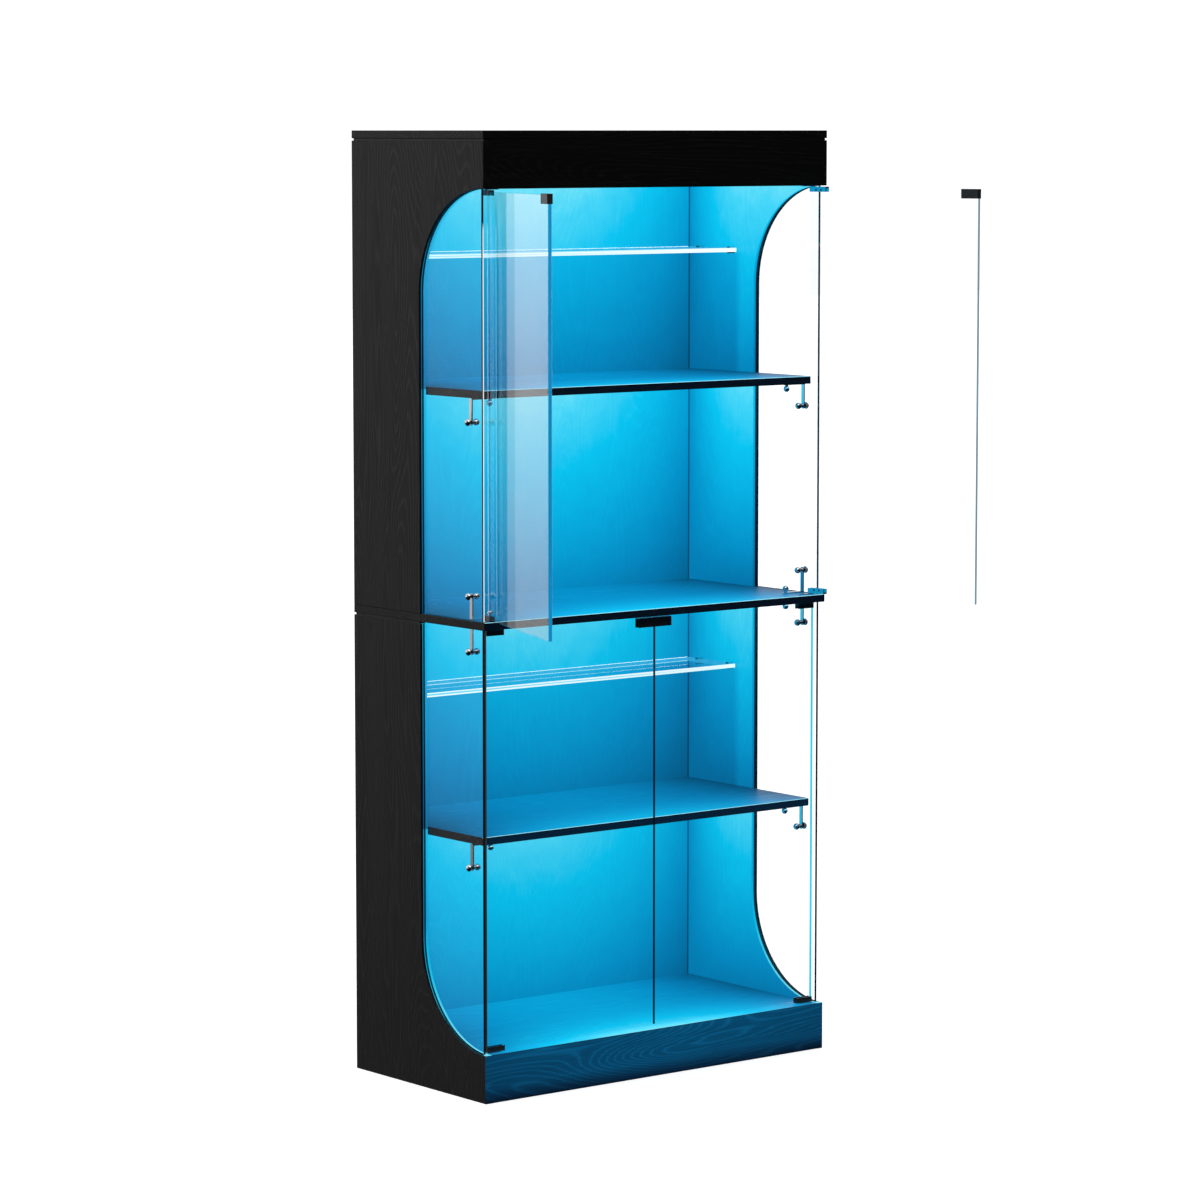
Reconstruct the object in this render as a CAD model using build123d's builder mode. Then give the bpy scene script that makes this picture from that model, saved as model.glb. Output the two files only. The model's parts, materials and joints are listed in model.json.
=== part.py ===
"""China cabinet with glass doors: a black wood-grain carcass in two storeys with curved side windows.

All sizes are in millimetres. The origin is on the floor, at the middle of the carcass.
+X points right, the front faces -Y and +Z points up.
"""
from build123d import *
from math import acos, cos, degrees, radians, sin, sqrt
import os

# Carcass
width = 830
depth = 415
height = 1800
board = 15
plinth_height = 91
mid_underside = 885
ceiling_underside = 1694
reveal = 4
edge_chamfer = 0.8
half_width = width / 2
inner_x = half_width - board
front_y = -depth / 2
back_y = depth / 2
fascia_back = front_y + board
inner_back = back_y - board
mid_top = mid_underside + board
top_underside = height - board

# Window cut-outs in the side panels, and the panes in them
cut_back = -7.5
cut_lip = 5
cut_radius = cut_back - front_y - cut_lip
side_glass = 5
groove_depth = 6
groove_play = 0.2
side_glass_front = -194.5
glass_inner_x = inner_x + (board - side_glass) / 2
glass_outer_x = glass_inner_x + side_glass
lower_glass_top = mid_underside - 0.5

# Shelves
shelf_end_play = 0.5
wood_shelf_front = -180
upper_shelf_underside = 1310
lower_shelf_underside = 481
glass_shelf = 8
glass_shelf_front = 42
glass_shelf_end_play = 2.5
upper_glass_shelf_underside = 1561
lower_glass_shelf_underside = 733
shelf_back = inner_back - 0.5

# Doors
door_glass = 8
door_play = 5
door_middle_y = -188.5
pivot_x = 395
edge_to_pivot = 4
free_edge_from_pivot = 393
upper_left_angle = 110.4
upper_right_angle = 101.6
glass_edge_chamfer = 0.8

# Hinge clamps and their pivots
clamp_gap = 2
clamp_length = 40
clamp_thickness = 11
clamp_height = 10
clamp_floor = door_play - clamp_gap
clamp_rounding = 1.2
pin_radius = 2.5
pin_play = 0.05
pin_tip_play = 0.4
plate_thickness = 1.5
plate_length = 30
plate_width = 10
plate_end_x = 399.5
plate_screw_x = (374, 384)

# Clip handles and magnetic catches
clip_length = 39.5
clip_height = 18
clip_thickness = 10.6
clip_roof = 1.5
clip_rounding = 1
clip_end_wall = 1
clip_screw_drop = 13
grub_radius = 2
grub_socket = 1
grub_along = (12, 24)
grub_rise = 6.5
catch_width = 46
catch_depth = 10
catch_height = 6
catch_front = -191
catch_rounding = 2
catch_screw_x = 17

# Corner brackets between the side panes and the shelves
bracket_y = -153
bracket_width = 8
bracket_thickness = 2.5
bracket_leg = 50
bracket_hole = 44
bolt_radius = 2.5
bolt_head_radius = 6.75
bolt_head_height = 5.8
bolt_reach = 16
washer_radius = 6.2
washer_thickness = 0.8
nut_collar = 4
nut_ball = 6.5
nut_ball_centre = 10.5
knob_collar = 3.5
knob_ball = 6
knob_ball_centre = 7.5
wood_screw_radius = 2
wood_screw_depth = 6.5
fit_play = 0.05

# Shelf studs
stud_pin_radius = 2.5
stud_pin_depth = 8
stud_radius = 4.5
stud_length = 12
stud_drop = 3
stud_ys = (55, 150)
grip_radius = 7
grip_length = 14
grip_base = 2
grip_chamfer = 0.8

# Light strips in the undersides
channel_middle_y = -166
channel_width = 12
channel_height = 7
channel_wall = 1
channel_half_length = 390
diffuser_thickness = 1.2
strip_thickness = 0.4
led_size = 5
led_height = 1.6
led_count = 24
led_pitch = 32

# Dowels and spacers
dowel_radius = 3
dowel_in_side = 8
dowel_in_board = 18
upright_dowel_in_panel = 7
upright_dowel_in_side = 15
spacer_inset = 3
rail_dowel_zs = {"fascia": (1715, 1764), "plinth": (25, 66)}
panel_dowel_ys = (-100, 100)
upper_back_dowel_zs = (950, 1250, 1550, 1740)
lower_back_dowel_zs = (60, 300, 600, 850)
back_dowel_y = inner_back + board / 2
rail_dowel_y = front_y + board / 2
top_spacer_ys = (-140, 20, 160)
mid_spacer_ys = (40, 150)
standing_dowel_ys = (65, 175)

# Light controller and its low-voltage inlet
controller_size = (110, 48, 24)
controller_middle = (95, 144)
inlet_x = 95
inlet_z = 1735
inlet_radius = 5.5
inlet_flange_radius = 8
inlet_flange = 1.5
inlet_length = 20.5
inlet_nut = 3
inlet_socket_radius = 2.75
inlet_socket_depth = 9
inlet_contact_radius = 1

sides = {"left": -1, "right": 1}
storeys = {"upper": (mid_top, ceiling_underside), "lower": (plinth_height, mid_underside)}
door_angles = {
    ("upper", "left"): upper_left_angle,
    ("upper", "right"): upper_right_angle,
    ("lower", "left"): 0,
    ("lower", "right"): 0,
}
# Each bracket corner: the height of the wooden face it lies on, and the way it points from there
bracket_corners = {
    "upper_shelf": (upper_shelf_underside, -1),
    "mid_top": (mid_top, 1),
    "mid_underside": (mid_underside, -1),
    "lower_shelf": (lower_shelf_underside, -1),
}
knob_x = glass_inner_x - bracket_hole
os.makedirs("parts", exist_ok=True)
pieces = {}


def block(x0, x1, y0, y1, z0, z1, mode=Mode.ADD):
    """Add a plain box to the part being built, or cut it away."""
    with BuildSketch(Plane.XY.offset(z0)) as outline:
        with Locations(((x0 + x1) / 2, (y0 + y1) / 2)):
            Rectangle(x1 - x0, y1 - y0)
    extrude(outline.sketch, amount=z1 - z0, mode=mode)


def rods_z(points, z0, z1, radius, mode=Mode.SUBTRACT):
    """Upright round holes or rods through the given (x, y) points."""
    with BuildSketch(Plane.XY.offset(z0)) as circles:
        with Locations(*points):
            Circle(radius)
    extrude(circles.sketch, amount=z1 - z0, mode=mode)


def rods_x(points, x0, x1, radius, mode=Mode.SUBTRACT):
    """Round holes or rods along X through the given (y, z) points."""
    with BuildSketch(Plane.YZ.offset(x0)) as circles:
        with Locations(*points):
            Circle(radius)
    extrude(circles.sketch, amount=x1 - x0, mode=mode)


def rods_y(points, y0, y1, radius, mode=Mode.SUBTRACT):
    """Round holes or rods along Y through the given (x, z) points."""
    with BuildSketch(Plane.XZ.offset(-y0)) as circles:
        with Locations(*points):
            Circle(radius)
    extrude(circles.sketch, amount=y0 - y1, mode=mode)


def end_bores(points):
    """Dowel bores in both ends of a board that stands between the side panels."""
    bore = dowel_radius + fit_play
    rods_x(points, -inner_x, dowel_in_board - inner_x, bore)
    rods_x(points, inner_x - dowel_in_board, inner_x, bore)


def both_sides(y_values, x):
    """The (x, y) points at +x and -x for each y."""
    return [(side * x, y) for side in (-1, 1) for y in y_values]


def axial_plane(origin, axis):
    """A plane through an axis: local x is the radius and local y runs along the axis."""
    radial = Vector(0, 1, 0) if abs(axis[0]) > 0.5 else Vector(1, 0, 0)
    return Plane(origin=origin, x_dir=radial, z_dir=radial.cross(Vector(*axis)))


# Boards ------------------------------------------------------------------------------------------
rail_points = {rail: [(rail_dowel_y, z) for z in zs] for rail, zs in rail_dowel_zs.items()}
ceiling_points = [(y, ceiling_underside + board / 2) for y in panel_dowel_ys]
bottom_points = [(y, plinth_height - board / 2) for y in panel_dowel_ys]
upper_back_points = [(back_dowel_y, z) for z in upper_back_dowel_zs]
lower_back_points = [(back_dowel_y, z) for z in lower_back_dowel_zs]
side_middle_x = inner_x + board / 2
dowel_bore = dowel_radius + fit_play
pilot = wood_screw_radius + fit_play
knob_points = both_sides([bracket_y], knob_x)
plate_points = [(side * x, door_middle_y) for side in (-1, 1) for x in plate_screw_x]
catch_screw_depth = catch_height + wood_screw_depth
catch_points = [(side * catch_screw_x, catch_front + catch_depth / 2) for side in (-1, 1)]


def front_edges(built):
    """The long edges along a board's front face."""
    return built.edges().filter_by(Axis.X).group_by(Axis.Y)[0]


def light_groove(underside):
    """The groove in a board's underside that the light channel is pressed into."""
    y0 = channel_middle_y - channel_width / 2
    y1 = channel_middle_y + channel_width / 2
    top = underside + channel_height
    block(-channel_half_length, channel_half_length, y0, y1, underside, top, Mode.SUBTRACT)


def catch_block(underside, mode=Mode.ADD):
    """The magnetic catch's body, or the pocket for it in a board's underside."""
    with BuildSketch(Plane.XY.offset(underside)) as outline:
        with Locations((0, catch_front + catch_depth / 2)):
            RectangleRounded(catch_width, catch_depth, catch_rounding)
    extrude(outline.sketch, amount=catch_height, mode=mode)


with BuildPart() as top_panel:
    block(-half_width, half_width, front_y, back_y, top_underside, height)
    chamfer(top_panel.edges(), edge_chamfer)
    points = both_sides(top_spacer_ys, side_middle_x)
    rods_z(points, top_underside, top_underside + upright_dowel_in_panel, dowel_bore)
pieces["top_panel"] = top_panel.part

with BuildPart() as fascia_board:
    block(-inner_x, inner_x, front_y, fascia_back, ceiling_underside, top_underside)
    chamfer(front_edges(fascia_board).sort_by(Axis.Z)[0], edge_chamfer)
    end_bores(rail_points["fascia"])
pieces["fascia_board"] = fascia_board.part

with BuildPart() as ceiling_panel:
    ceiling_top = ceiling_underside + board
    block(-inner_x, inner_x, fascia_back, inner_back, ceiling_underside, ceiling_top)
    end_bores(ceiling_points)
    rods_z(plate_points, ceiling_underside, ceiling_underside + wood_screw_depth, pilot)
    rods_z(catch_points, ceiling_underside, ceiling_underside + catch_screw_depth, pilot)
    catch_block(ceiling_underside, Mode.SUBTRACT)
    light_groove(ceiling_underside)
pieces["ceiling_panel"] = ceiling_panel.part

with BuildPart() as mid_panel:
    block(-half_width, half_width, front_y, back_y, mid_underside, mid_top)
    chamfer(mid_panel.edges(), edge_chamfer)
    points = both_sides(standing_dowel_ys, side_middle_x)
    rods_z(points, mid_top - upright_dowel_in_panel, mid_top, dowel_bore)
    points = both_sides(mid_spacer_ys, side_middle_x)
    rods_z(points, mid_underside, mid_underside + upright_dowel_in_panel, dowel_bore)
    rods_z(plate_points + knob_points, mid_top - wood_screw_depth, mid_top, pilot)
    rods_z(plate_points + knob_points, mid_underside, mid_underside + wood_screw_depth, pilot)
    rods_z(catch_points, mid_underside, mid_underside + catch_screw_depth, pilot)
    catch_block(mid_underside, Mode.SUBTRACT)
    light_groove(mid_underside)
pieces["mid_panel"] = mid_panel.part

with BuildPart() as bottom_panel:
    bottom_underside = plinth_height - board
    block(-inner_x, inner_x, fascia_back, inner_back, bottom_underside, plinth_height)
    end_bores(bottom_points)
    rods_z(plate_points, plinth_height - wood_screw_depth, plinth_height, pilot)
pieces["bottom_panel"] = bottom_panel.part

with BuildPart() as plinth_board:
    block(-inner_x, inner_x, front_y, fascia_back, 0, plinth_height)
    chamfer(front_edges(plinth_board), edge_chamfer)
    end_bores(rail_points["plinth"])
pieces["plinth_board"] = plinth_board.part

with BuildPart() as centre_support:
    block(-board / 2, board / 2, fascia_back, inner_back, 0, plinth_height - board)
pieces["centre_support"] = centre_support.part

with BuildPart() as upper_back_panel:
    block(-inner_x, inner_x, inner_back, back_y, mid_top, top_underside)
    end_bores(upper_back_points)
    rods_y([(inlet_x, inlet_z)], inner_back, back_y, inlet_radius + fit_play)
    rods_y([(inlet_x, inlet_z)], back_y - inlet_flange, back_y, inlet_flange_radius + fit_play)
pieces["upper_back_panel"] = upper_back_panel.part

with BuildPart() as lower_back_panel:
    block(-inner_x, inner_x, inner_back, back_y, 0, mid_underside)
    end_bores(lower_back_points)
pieces["lower_back_panel"] = lower_back_panel.part

wood_shelves = {"upper": upper_shelf_underside, "lower": lower_shelf_underside}
for storey, underside in wood_shelves.items():
    with BuildPart() as wood_shelf:
        end_x = inner_x - shelf_end_play
        block(-end_x, end_x, wood_shelf_front, shelf_back, underside, underside + board)
        chamfer(front_edges(wood_shelf), edge_chamfer)
        rods_z(knob_points, underside, underside + wood_screw_depth, pilot)
        light_groove(underside)
    pieces[f"{storey}_wood_shelf"] = wood_shelf.part

glass_shelves = {"upper": upper_glass_shelf_underside, "lower": lower_glass_shelf_underside}
for storey, underside in glass_shelves.items():
    with BuildPart() as shelf:
        end_x = inner_x - glass_shelf_end_play
        block(-end_x, end_x, glass_shelf_front, shelf_back, underside, underside + glass_shelf)
        chamfer(shelf.edges(), glass_edge_chamfer)
    pieces[f"{storey}_glass_shelf"] = shelf.part


# Side panels and panes ---------------------------------------------------------------------------
def window_face(x, edge_z, open_z, margin, front):
    """Face of a window at x: straight at the open end, a quarter round towards edge_z."""
    upward = 1 if edge_z > open_z else -1
    radius = cut_radius + margin
    centre_y = front_y + cut_lip
    centre_z = edge_z - upward * cut_radius
    sweep = degrees(acos((front - centre_y) / radius))
    corner_z = centre_z + upward * sqrt(radius ** 2 - (front - centre_y) ** 2)
    side_y = centre_y + radius
    with BuildSketch(Plane.YZ.offset(x)) as outline:
        with BuildLine():
            CenterArc((centre_y, centre_z), radius, 0, upward * sweep)
            Polyline((front, corner_z), (front, open_z), (side_y, open_z), (side_y, centre_z))
        make_face()
    return outline.sketch


def side_panel(side, end_z, edge_z, open_z, dowels, upright_ys, foot_ys):
    """A side panel with its window cut, the groove for the pane and the bores in its faces."""
    x0 = min(side * inner_x, side * half_width)
    upward = 1 if edge_z > open_z else -1
    centre_y = front_y + cut_lip
    centre_z = edge_z - upward * cut_radius
    with BuildPart() as panel:
        with BuildSketch(Plane.YZ.offset(x0)):
            with BuildLine():
                CenterArc((centre_y, centre_z), cut_radius, 0, upward * 90)
                Polyline((centre_y, edge_z), (front_y, edge_z), (front_y, end_z), (back_y, end_z))
                Polyline((back_y, end_z), (back_y, open_z), (cut_back, open_z), (cut_back, centre_z))
            make_face()
        extrude(amount=board)
        outer_face = panel.faces().filter_by(Axis.X).sort_by(Axis.X)[0 if side < 0 else -1]
        chamfer(outer_face.edges(), edge_chamfer)
        groove_x = min(side * (glass_inner_x - groove_play), side * (glass_outer_x + groove_play))
        groove = window_face(groove_x, edge_z, open_z, groove_depth, side_glass_front - groove_play)
        extrude(groove, amount=side_glass + 2 * groove_play, mode=Mode.SUBTRACT)
        bore_x = min(side * inner_x, side * (inner_x + dowel_in_side))
        rods_x(dowels, bore_x, bore_x + dowel_in_side, dowel_bore)
        for ys, z in ((upright_ys, end_z), (foot_ys, open_z)):
            into = -upright_dowel_in_side if z > (end_z + open_z) / 2 else upright_dowel_in_side
            if ys:
                points = [(side * side_middle_x, y) for y in ys]
                rods_z(points, min(z, z + into), max(z, z + into), dowel_bore)
    return panel.part


def stud_axes(storey):
    """The (y, z) points of the shelf studs in one storey."""
    glass_z = glass_shelves[storey] + glass_shelf / 2
    wood_z = wood_shelves[storey] - stud_drop
    return [(y, glass_z) for y in stud_ys] + [(stud_ys[1], wood_z)]


def drill_studs(panel, side, storey):
    """The panel with the blind bores for its shelf studs."""
    x0 = min(side * inner_x, side * (inner_x + stud_pin_depth))
    with BuildPart() as drilled:
        add(panel)
        rods_x(stud_axes(storey), x0, x0 + stud_pin_depth, stud_pin_radius + fit_play)
    return drilled.part


upper_dowels = rail_points["fascia"] + ceiling_points + upper_back_points
lower_dowels = rail_points["plinth"] + bottom_points + lower_back_points
upper_side_top = top_underside - reveal
lower_side_top = mid_underside - reveal
for name, side in sides.items():
    upper = side_panel(
        side, upper_side_top, ceiling_underside, mid_top, upper_dowels, top_spacer_ys, standing_dowel_ys
    )
    lower = side_panel(side, 0, plinth_height, lower_side_top, lower_dowels, (), mid_spacer_ys)
    pieces[f"upper_side_panel_{name}"] = drill_studs(upper, side, "upper")
    pieces[f"lower_side_panel_{name}"] = drill_studs(lower, side, "lower")

pane_margin = groove_depth - groove_play
pane_ends = {"upper": (ceiling_underside, mid_top), "lower": (plinth_height, lower_glass_top)}
pane_brackets = {"upper": ("upper_shelf", "mid_top"), "lower": ("mid_underside", "lower_shelf")}
for storey, (edge_z, open_z) in pane_ends.items():
    for name, side in sides.items():
        x0 = min(side * glass_inner_x, side * glass_outer_x)
        corners = [bracket_corners[corner] for corner in pane_brackets[storey]]
        bolt_points = [(bracket_y, z + way * bracket_hole) for z, way in corners]
        with BuildPart() as pane:
            outline = window_face(x0, edge_z, open_z, pane_margin, side_glass_front)
            extrude(outline, amount=side_glass)
            rods_x(bolt_points, x0, x0 + side_glass, bolt_radius + fit_play)
        pieces[f"{storey}_side_glass_{name}"] = pane.part

# Dowels and spacers ------------------------------------------------------------------------------
horizontal_dowels = upper_dowels + lower_dowels
with BuildPart() as carcass_dowels:
    for side in sides.values():
        x0 = min(side * (inner_x - dowel_in_board), side * (inner_x + dowel_in_side))
        rods_x(horizontal_dowels, x0, x0 + dowel_in_board + dowel_in_side, dowel_radius, Mode.ADD)
    upright_dowels = (
        (top_spacer_ys, upper_side_top - upright_dowel_in_side, top_underside + upright_dowel_in_panel),
        (mid_spacer_ys, lower_side_top - upright_dowel_in_side, mid_underside + upright_dowel_in_panel),
        (standing_dowel_ys, mid_top - upright_dowel_in_panel, mid_top + upright_dowel_in_side),
    )
    for ys, z0, z1 in upright_dowels:
        rods_z(both_sides(ys, side_middle_x), z0, z1, dowel_radius, Mode.ADD)
pieces["carcass_dowels"] = carcass_dowels.part

with BuildPart() as reveal_spacers:
    strips = (
        (front_y + spacer_inset, top_spacer_ys, upper_side_top),
        (cut_back + groove_depth, mid_spacer_ys, lower_side_top),
    )
    y1 = back_y - spacer_inset
    for y0, ys, z0 in strips:
        for side in sides.values():
            x0 = min(side * inner_x, side * (half_width - spacer_inset))
            block(x0, x0 + board - spacer_inset, y0, y1, z0, z0 + reveal)
        rods_z(both_sides(ys, side_middle_x), z0, z0 + reveal, dowel_bore)
pieces["reveal_spacers"] = reveal_spacers.part


# Brackets that tie the side panes to the shelves --------------------------------------------------
def bracket(side, corner_z, way):
    """An angle strip in the corner between a pane and a wooden face."""
    leg = bracket_leg
    thick = bracket_thickness
    outline = [(0, 0), (leg, 0), (leg, thick), (thick, thick), (thick, leg), (0, leg)]
    points = [(side * (glass_inner_x - across), corner_z + way * along) for across, along in outline]
    with BuildPart() as strip:
        with BuildSketch(Plane.XZ.offset(-bracket_y - bracket_width / 2)):
            with BuildLine():
                Polyline(*points, close=True)
            make_face()
        extrude(amount=bracket_width)
        leg_ends = strip.edges().filter_by(Axis.Z).filter_by(
            lambda edge: abs(abs(edge.center().X) - (glass_inner_x - leg)) < thick / 2
        )
        fillet(leg_ends, bracket_width / 2 - 0.1)
        pane_ends_x = strip.edges().filter_by(Axis.X).filter_by(
            lambda edge: abs(edge.center().Z - corner_z - way * leg) < thick / 2
        )
        fillet(pane_ends_x, bracket_width / 2 - 0.1)
        z0 = min(corner_z, corner_z + way * thick)
        rods_z([(side * knob_x, bracket_y)], z0, z0 + thick, wood_screw_radius + fit_play)
        x0 = min(side * glass_inner_x, side * (glass_inner_x - thick))
        rods_x([(bracket_y, corner_z + way * bracket_hole)], x0, x0 + thick, bolt_radius + fit_play)
    return strip.part


def dome_bolt(origin, axis):
    """A round-headed bolt: the head stands out along the axis and the shank runs back from it."""
    rim = bolt_head_height / 4
    with BuildPart() as bolt:
        with BuildSketch(axial_plane(origin, axis)):
            with BuildLine():
                Polyline((bolt_head_radius, rim), (bolt_head_radius, 0), (bolt_radius, 0))
                Polyline((bolt_radius, 0), (bolt_radius, -bolt_reach), (0, -bolt_reach))
                Line((0, -bolt_reach), (0, bolt_head_height))
                TangentArc((0, bolt_head_height), (bolt_head_radius, rim), tangent=(1, 0))
            make_face()
        revolve(axis=Axis(origin, axis))
    return bolt.part


def washer(origin, axis):
    """A flat ring lying on the pane."""
    inner = bolt_radius + fit_play
    with BuildPart() as ring:
        with BuildSketch(axial_plane(origin, axis)):
            with Locations(((inner + washer_radius) / 2, washer_thickness / 2)):
                Rectangle(washer_radius - inner, washer_thickness)
        revolve(axis=Axis(origin, axis))
    return ring.part


def ball_nut(origin, axis):
    """A ball on a short collar, bored for the bolt's end."""
    bore = bolt_radius + fit_play
    bore_depth = nut_ball_centre
    shoulder = nut_ball_centre - sqrt(nut_ball ** 2 - nut_collar ** 2)
    ball_top = nut_ball_centre + nut_ball
    with BuildPart() as nut:
        with BuildSketch(axial_plane(origin, axis)):
            with BuildLine():
                Polyline((0, ball_top), (0, bore_depth), (bore, bore_depth), (bore, 0), (nut_collar, 0))
                Line((nut_collar, 0), (nut_collar, shoulder))
                ThreePointArc((nut_collar, shoulder), (nut_ball, nut_ball_centre), (0, ball_top))
            make_face()
        revolve(axis=Axis(origin, axis))
    return nut.part


def knob_screw(origin, axis):
    """A screw with a ball head on a collar: the shank runs back through the strip into the wood."""
    shoulder = knob_ball_centre - sqrt(knob_ball ** 2 - knob_collar ** 2)
    ball_top = knob_ball_centre + knob_ball
    reach = bracket_thickness + wood_screw_depth - fit_play
    with BuildPart() as screw:
        with BuildSketch(axial_plane(origin, axis)):
            with BuildLine():
                Polyline((0, ball_top), (0, -reach), (wood_screw_radius, -reach), (wood_screw_radius, 0))
                Polyline((wood_screw_radius, 0), (knob_collar, 0), (knob_collar, shoulder))
                ThreePointArc((knob_collar, shoulder), (knob_ball, knob_ball_centre), (0, ball_top))
            make_face()
        revolve(axis=Axis(origin, axis))
    return screw.part


with BuildPart() as glass_brackets:
    for side in sides.values():
        for corner_z, way in bracket_corners.values():
            add(bracket(side, corner_z, way))
pieces["glass_brackets"] = glass_brackets.part

bracket_places = [(side, z, way) for side in sides.values() for z, way in bracket_corners.values()]
with BuildPart() as bracket_bolts:
    for side, z, way in bracket_places:
        seat = (side * (glass_outer_x + washer_thickness), bracket_y, z + way * bracket_hole)
        add(dome_bolt(seat, (side, 0, 0)))
pieces["bracket_bolts"] = bracket_bolts.part

with BuildPart() as bracket_washers:
    for side, z, way in bracket_places:
        add(washer((side * glass_outer_x, bracket_y, z + way * bracket_hole), (side, 0, 0)))
pieces["bracket_washers"] = bracket_washers.part

with BuildPart() as bracket_ball_nuts:
    for side, z, way in bracket_places:
        seat = (side * (glass_inner_x - bracket_thickness), bracket_y, z + way * bracket_hole)
        add(ball_nut(seat, (-side, 0, 0)))
pieces["bracket_ball_nuts"] = bracket_ball_nuts.part

with BuildPart() as bracket_shelf_screws:
    for side, z, way in bracket_places:
        add(knob_screw((side * knob_x, bracket_y, z + way * bracket_thickness), (0, 0, way)))
pieces["bracket_shelf_screws"] = bracket_shelf_screws.part


# Shelf studs -------------------------------------------------------------------------------------
def shelf_stud(side, y, z):
    """A round stud with a flat seat for the shelf, and a pin in the side panel."""
    seat_x = side * inner_x
    outward = Plane(origin=(seat_x, y, z), x_dir=(0, 1, 0), z_dir=(side, 0, 0))
    with BuildPart() as stud:
        with BuildSketch(outward):
            Circle(stud_pin_radius)
        extrude(amount=stud_pin_depth)
        with BuildSketch(outward):
            Circle(stud_radius)
        extrude(amount=-stud_length)
        x0 = min(seat_x, seat_x - side * stud_length)
        y0 = y - stud_radius
        y1 = y + stud_radius
        block(x0, x0 + stud_length, y0, y1, z + stud_drop, z + stud_radius, Mode.SUBTRACT)
    return stud.part


def glass_grip(side, y, z):
    """A round grip with a slot that holds the end of a glass shelf, and a pin in the side panel."""
    seat_x = side * inner_x
    outward = Plane(origin=(seat_x, y, z), x_dir=(0, 1, 0), z_dir=(side, 0, 0))
    end_x = seat_x - side * grip_length
    base_x = seat_x - side * grip_base
    with BuildPart() as grip:
        with BuildSketch(outward):
            Circle(grip_radius)
        extrude(amount=-grip_length)
        end_rim = grip.edges().filter_by(GeomType.CIRCLE).sort_by(Axis.X)[-1 if side < 0 else 0]
        chamfer(end_rim, grip_chamfer)
        with BuildSketch(outward):
            Circle(stud_pin_radius)
        extrude(amount=stud_pin_depth)
        x0 = min(base_x, end_x)
        x1 = max(base_x, end_x)
        half = glass_shelf / 2
        block(x0, x1, y - grip_radius, y + grip_radius, z - half, z + half, Mode.SUBTRACT)
    return grip.part


with BuildPart() as shelf_studs:
    for storey in storeys:
        *glass_axes, wood_axis = stud_axes(storey)
        for side in sides.values():
            add(shelf_stud(side, *wood_axis))
            for y, z in glass_axes:
                add(glass_grip(side, y, z))
pieces["shelf_studs"] = shelf_studs.part

# Light strips ------------------------------------------------------------------------------------
light_places = {
    "ceiling": ceiling_underside,
    "upper_shelf": upper_shelf_underside,
    "mid_panel": mid_underside,
    "lower_shelf": lower_shelf_underside,
}
channel_y0 = channel_middle_y - channel_width / 2
channel_y1 = channel_middle_y + channel_width / 2
for name, underside in light_places.items():
    with BuildPart() as channel:
        half = channel_half_length
        block(-half, half, channel_y0, channel_y1, underside, underside + channel_height)
        roof = underside + channel_height - channel_wall
        y0 = channel_y0 + channel_wall
        y1 = channel_y1 - channel_wall
        block(-half, half, y0, y1, underside, roof, Mode.SUBTRACT)
    pieces[f"{name}_light_channel"] = channel.part
    with BuildPart() as diffuser:
        block(-half, half, y0, y1, underside, underside + diffuser_thickness)
    pieces[f"{name}_light_diffuser"] = diffuser.part

with BuildPart() as light_strips:
    for underside in light_places.values():
        strip_top = underside + channel_height - channel_wall
        strip_bottom = strip_top - strip_thickness
        end_x = channel_half_length - channel_wall
        block(-end_x, end_x, y0, y1, strip_bottom, strip_top)
        with BuildSketch(Plane.XY.offset(strip_bottom - led_height)):
            with Locations((0, channel_middle_y)):
                with GridLocations(led_pitch, 0, led_count, 1):
                    Rectangle(led_size, led_size)
        extrude(amount=led_height)
pieces["light_strips"] = light_strips.part

with BuildPart() as light_controller:
    length, breadth, tall = controller_size
    middle_x, middle_y = controller_middle
    block(
        middle_x - length / 2, middle_x + length / 2, middle_y - breadth / 2, middle_y + breadth / 2,
        ceiling_top, ceiling_top + tall,
    )
    fillet(light_controller.edges().filter_by(Axis.Z), board / 5)
pieces["light_controller"] = light_controller.part

with BuildPart() as power_inlet:
    rods_y([(inlet_x, inlet_z)], back_y - inlet_length, back_y, inlet_radius, Mode.ADD)
    rods_y([(inlet_x, inlet_z)], back_y - inlet_flange, back_y, inlet_flange_radius, Mode.ADD)
    rods_y([(inlet_x, inlet_z)], inner_back - inlet_nut, inner_back, inlet_flange_radius, Mode.ADD)
    rods_y([(inlet_x, inlet_z)], back_y - inlet_socket_depth, back_y, inlet_socket_radius)
    rods_y([(inlet_x, inlet_z)], back_y - inlet_socket_depth, back_y - 1, inlet_contact_radius, Mode.ADD)
pieces["power_inlet"] = power_inlet.part

# Pivot plates, their screws and the catches --------------------------------------------------------
with BuildPart() as door_pivot_plates:
    for floor_z, roof_z in storeys.values():
        for face_z, way in ((floor_z, 1), (roof_z, -1)):
            plate_z = min(face_z, face_z + way * plate_thickness)
            pin_end = face_z + way * (door_play - pin_tip_play)
            for side in sides.values():
                x0 = min(side * plate_end_x, side * (plate_end_x - plate_length))
                y0 = door_middle_y - plate_width / 2
                block(x0, x0 + plate_length, y0, y0 + plate_width, plate_z, plate_z + plate_thickness)
                pin = [(side * pivot_x, door_middle_y)]
                rods_z(pin, min(face_z, pin_end), max(face_z, pin_end), pin_radius, Mode.ADD)
            rods_z(plate_points, plate_z, plate_z + plate_thickness, pilot)
pieces["door_pivot_plates"] = door_pivot_plates.part


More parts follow.
